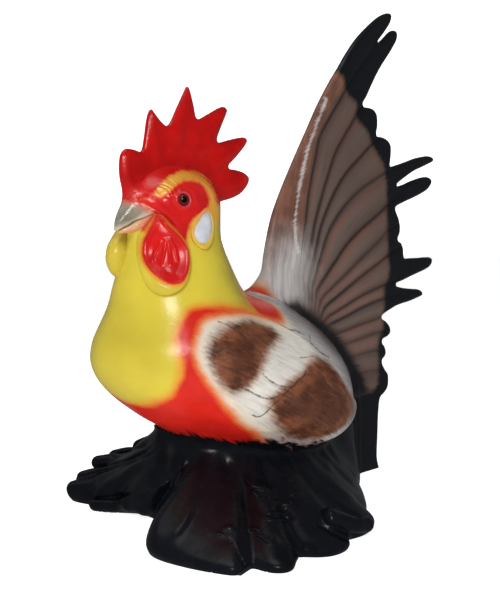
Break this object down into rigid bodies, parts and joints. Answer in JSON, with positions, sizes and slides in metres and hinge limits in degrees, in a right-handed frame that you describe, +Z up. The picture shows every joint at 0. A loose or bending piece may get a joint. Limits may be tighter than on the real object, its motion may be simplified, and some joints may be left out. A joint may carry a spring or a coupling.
{
  "type": "rooster garden figure",
  "caption": "Free-standing hollow rooster ornament with an upright comb, plump neck, wing pads and a tall fan tail, set on a lobed black pedestal.",
  "frame": {"origin": "centre of the bounding box's footprint, on the ground the figure stands on", "axes": "+Z up, the bird faces -Y, +X is the bird's left side, the mid-plane of the bird is X = 0"},
  "size_m": [0.4016, 0.6299, 0.678],
  "materials": {
    "body_paint": "sprayed and brushed gloss paint, yellow neck and breast, red band and belly",
    "comb_red": "gloss red paint",
    "beak_horn": "gloss horn colour, grey above and cream below",
    "wattle_red": "gloss red paint with a yellow border",
    "lobe_white": "gloss white paint",
    "eye_brown": "polished eye, dark red-brown iris and black pupil",
    "wing_cream": "cream paint with two brushed brown patches",
    "tail_brown": "warm brown feathers brushed with beige, black tips",
    "base_black": "gloss black paint",
    "plate_black": "plain black laminate"
  },
  "bodies": {
    "root": {"body_shell_left": "body_paint", "body_shell_right": "body_paint", "comb": "comb_red", "beak_upper": "beak_horn", "beak_lower": "beak_horn", "wattle_left": "wattle_red", "wattle_right": "wattle_red", "earlobe_left": "lobe_white", "earlobe_right": "lobe_white", "eye_left": "eye_brown", "eye_right": "eye_brown", "wing_left": "wing_cream", "wing_right": "wing_cream", "tail_fan": "tail_brown", "base_shell": "base_black", "base_plate": "plate_black"}
  },
  "joints": []
}
